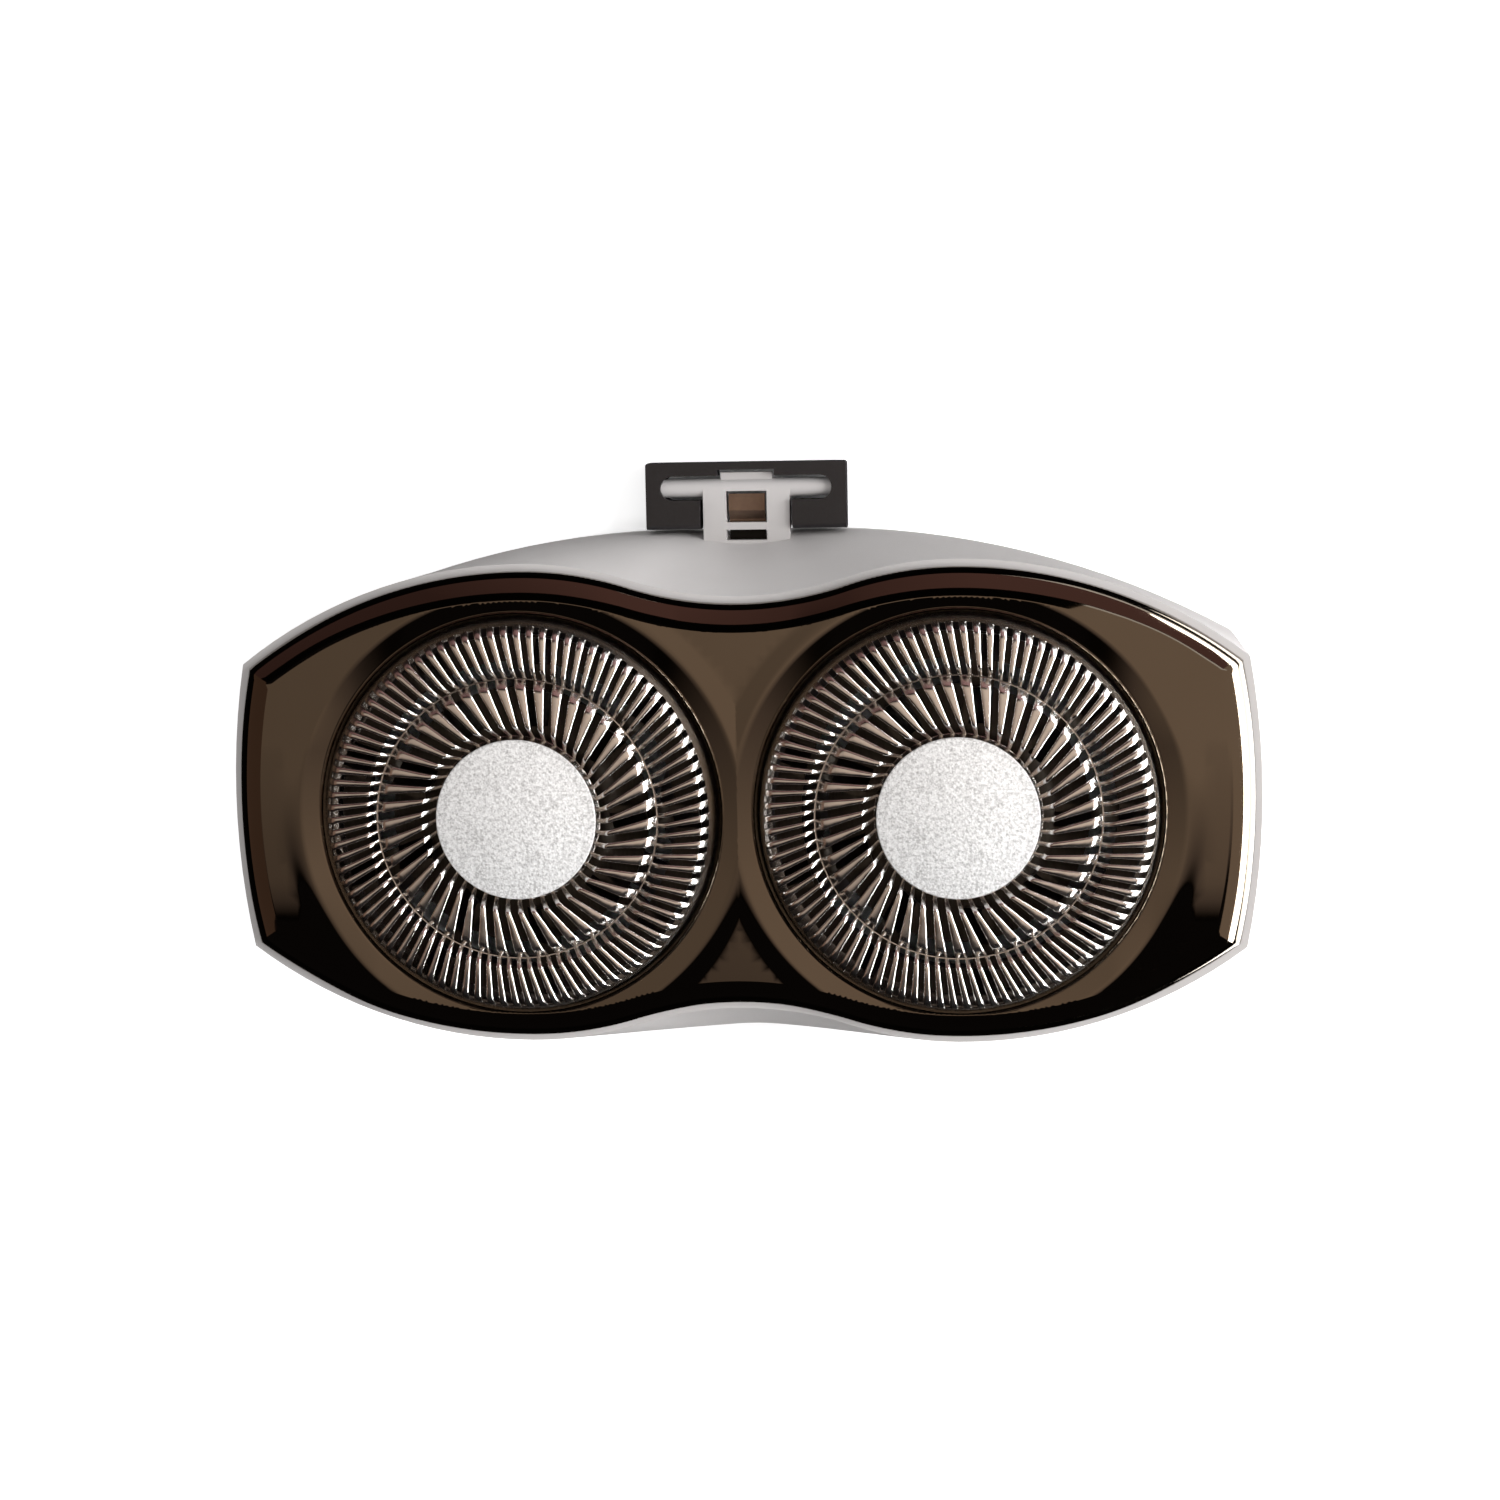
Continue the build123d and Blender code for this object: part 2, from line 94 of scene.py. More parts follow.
# Foils, close to the solid's profile, with slightly narrower slots that run over the slopes
foil_sheet = 0.25
foil_radius = 11.75
flange_radius = 12.5
flange_thickness = 0.4
flange_fillet = 0.6
inner_slots = 45
outer_slots = 90
inner_slot_width = 0.42
outer_slot_width = 0.32
slot_offset = 1.9            # slots run along tangents of this circle
rib_edge = 0.15              # rounding of the etched edges
track_cone = 0.05            # the tracks rise towards the cap by this slope, from this radius
cone_radius = 10.8

# Caps, the same section as the solid with a domed face
cap_dome = 0.4
cap_edge = 0.06
cap_height = 0.5
stem_radius = 2.2
bore_radius = 1.0
bore_depth = 1.6

# Lift spring, its own colour in the window of the hinge arm, with painted shade that turns it black below it
leaf_unshaded_length = 1.75
leaf_shade_fade = 0.15

# Studio
shadow_reach = (31, 17)      # along X and Y: the table keeps its shadow inside this oval
shadow_fade = (0.85, 1.05)   # shares of that oval between which the table turns white
bracket_fade = (0.94, 1.0)   # the same for the shadow under the bracket, as shares of its half size
table_lift = 0.56            # glow that turns the table white
table_half = 2.0             # m
fill_light = 0.54            # surround, as diffuse surfaces see it
dim_span = (-0.15, 0.03)     # m along X between which a card is dimmed towards the left
full_colour_share = 0.32     # share of a shaded card's height from which it has its own colour
glare = 22.0                 # strength of the cards that burn out to white
cream, brown_red, brown = "#d3bdaa", "#946e6a", "#755c4e"
white, dark, black = "#ffffff", "#1c1919", "#0d0b0a"

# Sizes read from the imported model
foil_low, foil_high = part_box("right_foil")
foil_x = (foil_low.x + foil_high.x) / 2 / MM
foil_top = foil_high.z / MM
flange_low = foil_low.z / MM
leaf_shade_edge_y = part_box("lift_spring")[1].y / MM - leaf_unshaded_length
cap_low, cap_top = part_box("right_foil_cap")
cap_radius = (cap_top.x - cap_low.x) / 2 / MM
cap_seat = cap_top.z / MM - cap_height
plate_low, plate_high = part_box("face_plate")
plate_base = plate_low.z / MM
plate_top = plate_high.z / MM
hole_radius = foil_radius + hole_clearance


def linear(hex_code):
    """sRGB hex to linear RGBA."""
    channels = [int(hex_code[i:i + 2], 16) / 255 for i in (1, 3, 5)]
    return [c / 12.92 if c <= 0.04045 else ((c + 0.055) / 1.055) ** 2.4 for c in channels] + [1.0]


def per_mm(size):
    """Texture scale, per metre, for a pattern of this size in mm."""
    return 1 / (size * MM)


def add(tree, kind, inputs=None, **settings):
    """Add a shader node with its settings, and values or links for its inputs."""
    node = tree.nodes.new("ShaderNode" + kind)
    for name, value in settings.items():
        setattr(node, name, value)
    for name, value in (inputs or {}).items():
        if isinstance(value, bpy.types.NodeSocket):
            tree.links.new(value, node.inputs[name])
        else:
            node.inputs[name].default_value = value
    return node


def new_material(name):
    """Empty material and its node tree."""
    material = bpy.data.materials.new(name)
    material.use_nodes = True
    material.node_tree.nodes.clear()
    return material, material.node_tree


def gunmetal_plating():
    """Vacuum-plated ABS under clear lacquer: a dark, warm mirror with the faintest orange peel."""
    material, tree = new_material("gunmetal_plating")
    place = add(tree, "TexCoord").outputs["Object"]
    peel = add(tree, "TexNoise", {"Vector": place, "Scale": per_mm(4.0), "Detail": 1.0})
    film = add(tree, "TexNoise", {"Vector": place, "Scale": per_mm(9.0), "Detail": 2.0})
    tint = add(tree, "ValToRGB", {"Fac": film.outputs["Fac"]})
    tint.color_ramp.elements[0].color = linear("#665b4d")
    tint.color_ramp.elements[1].color = linear("#6f6558")
    bump = add(tree, "Bump", {"Height": peel.outputs["Fac"], "Strength": 0.05, "Distance": 0.02 * MM})
    shader = add(tree, "BsdfPrincipled", {
        "Base Color": tint.outputs["Color"], "Metallic": 1.0, "Roughness": 0.06,
        "Coat Weight": 0.6, "Coat Roughness": 0.03, "Normal": bump.outputs["Normal"]})
    add(tree, "OutputMaterial", {"Surface": shader.outputs[0]})
    return material


def satin_grey_abs():
    """Moulded ABS with a fine spark-eroded texture: soft, even grey with a broad dull gloss."""
    material, tree = new_material("satin_grey_abs")
    place = add(tree, "TexCoord").outputs["Object"]
    grain = add(tree, "TexNoise", {"Vector": place, "Scale": per_mm(0.16), "Detail": 2.0})
    cloud = add(tree, "TexNoise", {"Vector": place, "Scale": per_mm(6.0), "Detail": 2.0})
    tint = add(tree, "ValToRGB", {"Fac": cloud.outputs["Fac"]})
    tint.color_ramp.elements[0].color = linear("#c0bcbb")
    tint.color_ramp.elements[1].color = linear("#cbc8c7")
    gloss = add(tree, "MapRange", {"Value": grain.outputs["Fac"], "To Min": 0.34, "To Max": 0.5})
    bump = add(tree, "Bump", {"Height": grain.outputs["Fac"], "Strength": 0.12, "Distance": 0.02 * MM})
    shader = add(tree, "BsdfPrincipled", {
        "Base Color": tint.outputs["Color"], "Roughness": gloss.outputs["Result"],
        "IOR": 1.53, "Normal": bump.outputs["Normal"]})
    add(tree, "OutputMaterial", {"Surface": shader.outputs[0]})
    return material


def black_nylon():
    """Glass-filled nylon, moulded: nearly black, with a fine grain that dulls its gloss."""
    material, tree = new_material("black_nylon")
    place = add(tree, "TexCoord").outputs["Object"]
    grain = add(tree, "TexNoise", {"Vector": place, "Scale": per_mm(0.2), "Detail": 3.0})
    tint = add(tree, "ValToRGB", {"Fac": grain.outputs["Fac"]})
    tint.color_ramp.elements[0].color = linear("#141214")
    tint.color_ramp.elements[1].color = linear("#201e21")
    bump = add(tree, "Bump", {"Height": grain.outputs["Fac"], "Strength": 0.25, "Distance": 0.03 * MM})
    shader = add(tree, "BsdfPrincipled", {
        "Base Color": tint.outputs["Color"], "Roughness": 0.5, "IOR": 1.53,
        "Normal": bump.outputs["Normal"]})
    add(tree, "OutputMaterial", {"Surface": shader.outputs[0]})
    return material


def charcoal_abs():
    """Moulded ABS in charcoal: a smoother skin than the bracket's, with faint flow clouds."""
    material, tree = new_material("charcoal_abs")
    place = add(tree, "TexCoord").outputs["Object"]
    flow = add(tree, "TexNoise", {"Vector": place, "Scale": per_mm(5.0), "Detail": 2.0, "Distortion": 0.6})
    grain = add(tree, "TexNoise", {"Vector": place, "Scale": per_mm(0.25), "Detail": 2.0})
    tint = add(tree, "ValToRGB", {"Fac": flow.outputs["Fac"]})
    tint.color_ramp.elements[0].color = linear("#2a2a2c")
    tint.color_ramp.elements[1].color = linear("#38383b")
    bump = add(tree, "Bump", {"Height": grain.outputs["Fac"], "Strength": 0.12, "Distance": 0.02 * MM})
    shader = add(tree, "BsdfPrincipled", {
        "Base Color": tint.outputs["Color"], "Roughness": 0.42, "IOR": 1.53,
        "Normal": bump.outputs["Normal"]})
    add(tree, "OutputMaterial", {"Surface": shader.outputs[0]})
    return material


def natural_acetal():
    """Uncoloured acetal: waxy off-white that lets a little light into its skin."""
    material, tree = new_material("natural_acetal")
    place = add(tree, "TexCoord").outputs["Object"]
    cloud = add(tree, "TexNoise", {"Vector": place, "Scale": per_mm(2.0), "Detail": 2.0})
    tint = add(tree, "ValToRGB", {"Fac": cloud.outputs["Fac"]})
    tint.color_ramp.elements[0].color = linear("#d6d3c8")
    tint.color_ramp.elements[1].color = linear("#e3e1d9")
    shader = add(tree, "BsdfPrincipled", {
        "Base Color": tint.outputs["Color"], "Roughness": 0.36, "IOR": 1.48,
        "Subsurface Weight": 0.15, "Subsurface Radius": (0.6 * MM, 0.5 * MM, 0.4 * MM),
        "Subsurface Scale": 1.0})
    add(tree, "OutputMaterial", {"Surface": shader.outputs[0]})
    return material


def polished_foil_steel():
    """Etched and tumbled stainless steel: bright, with a slight haze and soft wear in its gloss."""
    material, tree = new_material("polished_foil_steel")
    place = add(tree, "TexCoord").outputs["Object"]
    haze = add(tree, "TexNoise", {"Vector": place, "Scale": per_mm(0.9), "Detail": 3.0})
    tint = add(tree, "ValToRGB", {"Fac": haze.outputs["Fac"]})
    tint.color_ramp.elements[0].color = linear("#dddbd9")
    tint.color_ramp.elements[1].color = linear("#eeedeb")
    gloss = add(tree, "MapRange", {"Value": haze.outputs["Fac"], "To Min": 0.18, "To Max": 0.27})
    bump = add(tree, "Bump", {"Height": haze.outputs["Fac"], "Strength": 0.06, "Distance": 0.02 * MM})
    shader = add(tree, "BsdfPrincipled", {
        "Base Color": tint.outputs["Color"], "Metallic": 1.0, "Roughness": gloss.outputs["Result"],
        "Normal": bump.outputs["Normal"]})
    add(tree, "OutputMaterial", {"Surface": shader.outputs[0]})
    return material


def cutter_steel_painted_dark():
    """Hardened blade steel, ground, with fine lines of the grinding wheel: far darker than the foils as
    painted shade behind the slots.
    """
    material, tree = new_material("cutter_steel_painted_dark")
    place = add(tree, "TexCoord").outputs["Object"]
    stretched = add(tree, "Mapping", {"Vector": place, "Scale": (1.0, 0.12, 1.0)})
    lines = add(tree, "TexNoise", {
        "Vector": stretched.outputs["Vector"], "Scale": per_mm(0.12), "Detail": 2.0})
    tint = add(tree, "ValToRGB", {"Fac": lines.outputs["Fac"]})
    # Painted shade: the steel is given a near-black colour so that the gaps between the foil ribs read dark
    tint.color_ramp.elements[0].color = linear("#33302c")
    tint.color_ramp.elements[1].color = linear("#474440")
    bump = add(tree, "Bump", {"Height": lines.outputs["Fac"], "Strength": 0.2, "Distance": 0.01 * MM})
    shader = add(tree, "BsdfPrincipled", {
        "Base Color": tint.outputs["Color"], "Metallic": 1.0, "Roughness": 0.32,
        "Normal": bump.outputs["Normal"]})
    add(tree, "OutputMaterial", {"Surface": shader.outputs[0]})
    return material


def bright_spring_steel():
    """Cold-rolled spring strip: clean grey steel with streaks along the rolling."""
    material, tree = new_material("bright_spring_steel")
    place = add(tree, "TexCoord").outputs["Object"]
    stretched = add(tree, "Mapping", {"Vector": place, "Scale": (0.1, 1.0, 1.0)})
    streak = add(tree, "TexNoise", {
        "Vector": stretched.outputs["Vector"], "Scale": per_mm(0.2), "Detail": 2.0})
    tint = add(tree, "ValToRGB", {"Fac": streak.outputs["Fac"]})
    tint.color_ramp.elements[0].color = linear("#a9a9a9")
    tint.color_ramp.elements[1].color = linear("#c4c4c4")
    shader = add(tree, "BsdfPrincipled", {
        "Base Color": tint.outputs["Color"], "Metallic": 1.0, "Roughness": 0.24})
    add(tree, "OutputMaterial", {"Surface": shader.outputs[0]})
    return material


def brown_spring_bronze():
    """Spring bronze dulled by handling: warm brown with darker oxide patches, turned black towards its root
    by painted shade.
    """
    material, tree = new_material("brown_spring_bronze")
    place = add(tree, "TexCoord").outputs["Object"]
    oxide = add(tree, "TexNoise", {"Vector": place, "Scale": per_mm(0.8), "Detail": 3.0})
    tint = add(tree, "ValToRGB", {"Fac": oxide.outputs["Fac"]})
    tint.color_ramp.elements[0].color = linear("#6f5a4c")
    tint.color_ramp.elements[1].color = linear("#8d7767")
    along = add(tree, "SeparateXYZ", {"Vector": place})
    # Painted shade: below the arm's window the leaf fades to near black, standing in for the shade there
    unshaded_share = add(tree, "MapRange", {
        "Value": along.outputs["Y"], "From Min": (leaf_shade_edge_y - leaf_shade_fade) * MM,
        "From Max": (leaf_shade_edge_y + leaf_shade_fade) * MM})
    colour_with_painted_shade = add(tree, "MixRGB", {
        "Fac": unshaded_share.outputs["Result"], "Color1": linear("#0b0a09"), "Color2": tint.outputs["Color"]})
    gloss = add(tree, "MapRange", {"Value": oxide.outputs["Fac"], "To Min": 0.45, "To Max": 0.3})
    shader = add(tree, "BsdfPrincipled", {
        "Base Color": colour_with_painted_shade.outputs["Color"], "Metallic": 0.7, "Roughness": gloss.outputs["Result"]})
    add(tree, "OutputMaterial", {"Surface": shader.outputs[0]})
    return material


def zinc_plated_steel():
    """Bright zinc over steel: cool silver broken into fine crystals."""
    material, tree = new_material("zinc_plated_steel")
    place = add(tree, "TexCoord").outputs["Object"]
    crystal = add(tree, "TexVoronoi", {"Vector": place, "Scale": per_mm(0.3)})
    tint = add(tree, "ValToRGB", {"Fac": crystal.outputs["Distance"]})
    tint.color_ramp.elements[0].color = linear("#b2b5b8")
    tint.color_ramp.elements[1].color = linear("#cacdd0")
    gloss = add(tree, "MapRange", {"Value": crystal.outputs["Distance"], "To Min": 0.24, "To Max": 0.38})
    shader = add(tree, "BsdfPrincipled", {
        "Base Color": tint.outputs["Color"], "Metallic": 1.0, "Roughness": gloss.outputs["Result"]})
    add(tree, "OutputMaterial", {"Surface": shader.outputs[0]})
    return material


def silver_flake_lacquer():
    """Blasted disc under silver flake lacquer: a pale matt ground with bright and dark specks.
    The flake is drawn at 0.16 mm, coarser than the real 0.05 mm, so that it shows."""
    material, tree = new_material("silver_flake_lacquer")
    place = add(tree, "TexCoord").outputs["Object"]
    flake = add(tree, "TexVoronoi", {"Vector": place, "Scale": per_mm(0.16), "Randomness": 1.0})
    dust = add(tree, "TexNoise", {"Vector": place, "Scale": per_mm(0.2), "Detail": 4.0, "Roughness": 0.8})
    tint = add(tree, "ValToRGB", {"Fac": dust.outputs["Fac"]})
    tint.color_ramp.elements[0].position = 0.36
    tint.color_ramp.elements[0].color = linear("#bab9b9")
    tint.color_ramp.elements[1].position = 0.58
    tint.color_ramp.elements[1].color = linear("#ffffff")
    bump = add(tree, "Bump", {"Height": flake.outputs["Distance"], "Strength": 0.35, "Distance": 0.05 * MM})
    shader = add(tree, "BsdfPrincipled", {
        "Base Color": tint.outputs["Color"], "Metallic": 0.25, "Roughness": 0.42,
        "Normal": bump.outputs["Normal"]})
    add(tree, "OutputMaterial", {"Surface": shader.outputs[0]})
    return material


def new_object(name, mesh, material):
    """Object with one material, linked to the scene."""
    mesh.materials.append(material)
    piece = bpy.data.objects.new(name, mesh)
    bpy.context.scene.collection.objects.link(piece)
    return piece


def arc(centre, radius, start, end, steps):
    """Points along an arc, without its last one; angles in radians."""
    angles = [start + (end - start) * k / steps for k in range(steps)]
    return [Vector((centre[0] + radius * math.cos(a), centre[1] + radius * math.sin(a))) for a in angles]


def plate_outline(grow):
    """Plan of the plate, grown outwards, as a closed loop of points that runs clockwise from +Y."""
    end = plate_half_length + grow
    crest = plate_crest_y + grow
    waist = plate_waist_y + grow
    corner = Vector((end - end_bow, plate_corner_y + corner_share * grow))
    swell = crest - waist
    wave = ((crest_x / 2) ** 2 + (swell / 2) ** 2) / swell
    turn = math.asin(crest_x / 2 / wave)
    reach = corner.x - crest_x
    fall = crest - corner.y
    lobe = (reach ** 2 + fall ** 2) / (2 * fall)
    bow = (corner.y ** 2 + end_bow ** 2) / (2 * end_bow)
    quarter = math.pi / 2
    wave_steps, lobe_steps, bow_steps = 20, 50, 30
    points = arc((0, waist + wave), wave, -quarter, -quarter + turn, wave_steps)
    points += arc((crest_x, crest - wave), wave, quarter + turn, quarter, wave_steps)
    points += arc((crest_x, crest - lobe), lobe, quarter, quarter - math.asin(reach / lobe), lobe_steps)
    points += arc((end - bow, 0), bow, math.asin(corner.y / bow), 0, bow_steps)
    right = points + [Vector((end, 0))] + [Vector((p.x, -p.y)) for p in reversed(points[1:])]
    left = [Vector((-p.x, -p.y)) for p in points] + [Vector((-end, 0))]
    left += [Vector((-p.x, p.y)) for p in reversed(points[1:])]
    return [point + Vector((0, plan_shift)) for point in right + left]


def outward(loop):
    """Outward direction at each point of a clockwise loop."""
    normals = []
    for k in range(len(loop)):
        along = loop[(k + 1) % len(loop)] - loop[k - 1]
        normals.append(Vector((-along.y, along.x)).normalized())
    return normals


def inside(loop, point):
    """Whether a point lies in a closed loop."""
    crossings = 0
    for k, a in enumerate(loop):
        b = loop[k - 1]
        if (a.y > point.y) != (b.y > point.y):
            if point.x < a.x + (point.y - a.y) * (b.x - a.x) / (b.y - a.y):
                crossings += 1
    return crossings % 2 == 1


def shoulder(point):
    """Height of the cover's face over its low face, and the slope of that height, in mm."""
    away = point - Vector((math.copysign(foil_x, point.x), 0))
    out = away.length - hole_radius
    share = min(max((out - funnel_width) / collar_slope, 0), 1)
    height = collar_crown * (1 - share * share * (3 - 2 * share))
    steep = -collar_crown * 6 * share * (1 - share) / collar_slope
    deep = funnel_width - out
    if deep > funnel_blend:
        height -= funnel_slope * deep
        steep += funnel_slope
    elif deep > -funnel_blend:
        height -= funnel_slope * (deep + funnel_blend) ** 2 / (4 * funnel_blend)
        steep += funnel_slope * (deep + funnel_blend) / (2 * funnel_blend)
    lip = min(hole_round - out, lip_reach * hole_round)
    if lip > 0:
        height -= hole_round - math.sqrt(hole_round ** 2 - lip ** 2)
        steep += lip / math.sqrt(hole_round ** 2 - lip ** 2)
    fall, fall_slope = end_fall(point)
    return height - fall, away.normalized() * steep - fall_slope


def end_fall(point):
    """How far the face has fallen towards a corner of the plate, and the slope of that fall."""
    along = min(max((abs(point.x) - end_fall_start[0]) / end_fall_blend[0], 0), 1)
    weight = along * along * (3 - 2 * along)
    weight_slope = 6 * along * (1 - along) / end_fall_blend[0]
    beyond = max(abs(point.y) - end_fall_start[1], 0)
    ramp = min(beyond, end_fall_blend[1])
    drop = end_fall_slope * (ramp * ramp / (2 * end_fall_blend[1]) + beyond - ramp)
    slope_y = end_fall_slope * ramp / end_fall_blend[1]
    slope = Vector((math.copysign(weight_slope * drop, point.x), math.copysign(weight * slope_y, point.y)))
    return weight * drop, slope


def face_cover_points():
    """Plan points, heights and normals over the cover's face: rolled edge, shoulders and middle.
    The edges are those of its rim and of the two holes."""
    roll_steps = 14
    ring_points = 240
    ring_gap = 0.06
    collar_pitch = 0.12
    grid_pitch = 0.6
    grid_gap = 0.1
    low_face = plate_top - low_face_depth
    points, tops, normals = [], [], []

    def put(point, height, slope):
        points.append(point)
        tops.append(low_face + height)
        normals.append(Vector((-slope.x, -slope.y, 1)).normalized())

    crease = math.asin(roll_crease)
    steepest = roll_reach * math.pi / 2
    across = plate_edge_round / (1 - roll_crease)
    down = plate_edge_round / math.cos(crease)
    crest = [shoulder(point) for point in plate_outline(-plate_edge_round)]
    for k in range(roll_steps + 1):
        turn = steepest - (steepest - crease) * k / roll_steps
        steep = down * math.sin(turn) / (across * math.cos(turn))
        loop = plate_outline(-across * (1 - math.sin(turn)))
        for point, side, (height, slope) in zip(loop, outward(loop), crest):
            put(point, height - plate_edge_round + down * math.cos(turn),
                slope - side * slope.dot(side) - side * steep)
    rim_count = len(loop)
    for point in plate_outline(-plate_edge_round - ring_gap):
        put(point, *shoulder(point))
    field = plate_outline(-plate_edge_round - 2 * ring_gap)
    hole_starts = []
    lip_steps = [0, 0.04, 0.1, 0.17, hole_round]
    collar_steps = [hole_round + collar_pitch * k for k in range(1, 20)]
    for x in (-foil_x, foil_x):
        hole_starts.append(len(points))
        for out in lip_steps + collar_steps:
            for k in range(ring_points):
                angle = 2 * math.pi * k / ring_points
                point = Vector((math.cos(angle), math.sin(angle))) * (hole_radius + out) + Vector((x, 0))
                if out == 0 or (inside(field, point) and point.x * x > 0):
                    put(point, *shoulder(point))
    columns = round(plate_half_length / grid_pitch)
    rows = round(plate_crest_y / grid_pitch)
    for i in range(-columns, columns + 1):
        for j in range(-rows, rows + 1):
            point = Vector((i * grid_pitch, j * grid_pitch))
            clear = (point - Vector((math.copysign(foil_x, point.x), 0))).length - hole_radius
            if clear > collar_steps[-1] + grid_gap and inside(field, point):
                put(point, *shoulder(point))
    edges = [(k, (k + 1) % rim_count) for k in range(rim_count)]
    for start in hole_starts:
        edges += [(start + k, start + (k + 1) % ring_points) for k in range(ring_points)]
    return points, tops, normals, edges


def face_cover(material):
    """Plated cover as a closed skin with true normals, so that its reflections run clean."""
    inside_only, merge_distance = 1, 1e-5
    hole_share = 0.9995          # faces that lie within this share of a hole are dropped
    points, tops, normals, edges = face_cover_points()
    flat, _, faces, origins, _, _ = delaunay_2d_cdt(points, edges, [], inside_only, merge_distance)
    top_corners, lower, shade = [], [], []
    for place, origin in zip(flat, origins):
        k = origin[0]
        normal = normals[k]
        top_corners.append(Vector((place.x, place.y, tops[k])))
        under = max(tops[k] - plate_skin, plate_base)
        inward = Vector((place.x, place.y)) - Vector((normal.x, normal.y)) * plate_skin
        lower.append(Vector((inward.x, inward.y, min(under, plate_top - low_face_depth - plate_skin))))
        shade.append(normal)
    kept = []
    for face in faces:
        middle = sum((top_corners[k] for k in face), Vector((0, 0, 0))) / len(face)
        spoke = Vector((middle.x - math.copysign(foil_x, middle.x), middle.y))
        if spoke.length > hole_radius * hole_share:
            kept.append(list(face))
    count = len(top_corners)
    sides = dict.fromkeys((a, b) for face in kept for a, b in zip(face, face[1:] + face[:1]))
    rim = [(a, b) for a, b in sides if (b, a) not in sides]
    polygons = list(kept)
    polygons += [[count + k for k in reversed(face)] for face in kept]
    polygons += [[b, a, count + a, count + b] for a, b in rim]
    mesh = bpy.data.meshes.new("face_cover")
    corners = [tuple(v * MM) for v in top_corners + lower]
    mesh.from_pydata(corners, [], polygons)
    mesh.polygons.foreach_set("use_smooth", [True] * len(mesh.polygons))
    loops = []
    for polygon in mesh.polygons:
        on_face = polygon.index < len(kept)
        loops += [shade[k] if on_face else polygon.normal for k in polygon.vertices]
    mesh.normals_split_custom_set(loops)
    return new_object("face_cover", mesh, material)


def slotted_sheet(profile, count, width):
    """Turned sheet with straight slots and round-edged ribs between them, as corners and polygons in mm.
    The profile gives radius, depth under the foil's top, and whether the slots are open there."""
    corners, polygons = [], []
    rounding = (0, 0.12, 0.4, 1)  # shares of an edge's width at which its round is drawn
    widest_edge = 0.42            # share of a rib that one rounded edge may take
    size = 2 * len(rounding) + 2
    pitch = 2 * math.pi / count
    for radius, drop, cut in profile:
        rib = pitch * math.sqrt(radius ** 2 - slot_offset ** 2) - width
        edge = min(rib_edge, widest_edge * rib)
        falls = [edge * (1 - math.sqrt(1 - (1 - share) ** 2)) if cut else 0 for share in rounding]
        rise = track_cone * max(cone_radius - radius, 0) if radius > cap_radius else 0
        for k in range(count):
            section = []
            for share, fall in zip(rounding, falls):
                across = slot_offset - width / 2 - edge * share
                section.append((pitch * k - math.asin(across / radius), drop + fall))
            for share, fall in zip(reversed(rounding), reversed(falls)):
                across = slot_offset + width / 2 + edge * share
                section.append((pitch * (k + 1) - math.asin(across / radius), drop + fall))
            section += [(section[-1][0], drop + foil_sheet), (section[0][0], drop + foil_sheet)]
            for angle, depth in section:
                corners.append((radius * math.cos(angle), radius * math.sin(angle), foil_top - depth + rise))
    top = 2 * len(rounding) - 1

    def corner(ring, k, j):
        return (ring * count + k % count) * size + j

    def strip(ring, k, j, next_k, next_j):
        polygons.append((corner(ring, k, j), corner(ring + 1, k, j),
                         corner(ring + 1, next_k, next_j), corner(ring, next_k, next_j)))

    cuts = [cut for _, _, cut in profile]
    for ring in range(len(profile) - 1):
        open_slot = cuts[ring] and cuts[ring + 1]
        for k in range(count):
            for j in range(top):
                strip(ring, k, j, k, j + 1)
            strip(ring, k, top + 1, k, top + 2)
            if open_slot:
                strip(ring, k, top, k, top + 1)
                strip(ring, k, top + 2, k, 0)
            else:
                strip(ring, k, top, k + 1, 0)
                strip(ring, k + 1, top + 2, k, top + 1)
    for ring, cut in enumerate(cuts):
        if cut and cuts[ring - 1] != cuts[ring + 1]:
            for k in range(count):
                polygons.append((corner(ring, k, top), corner(ring, k + 1, 0), corner(ring, k + 1, top + 2),
                                 corner(ring, k, top + 1)))
    return corners, polygons


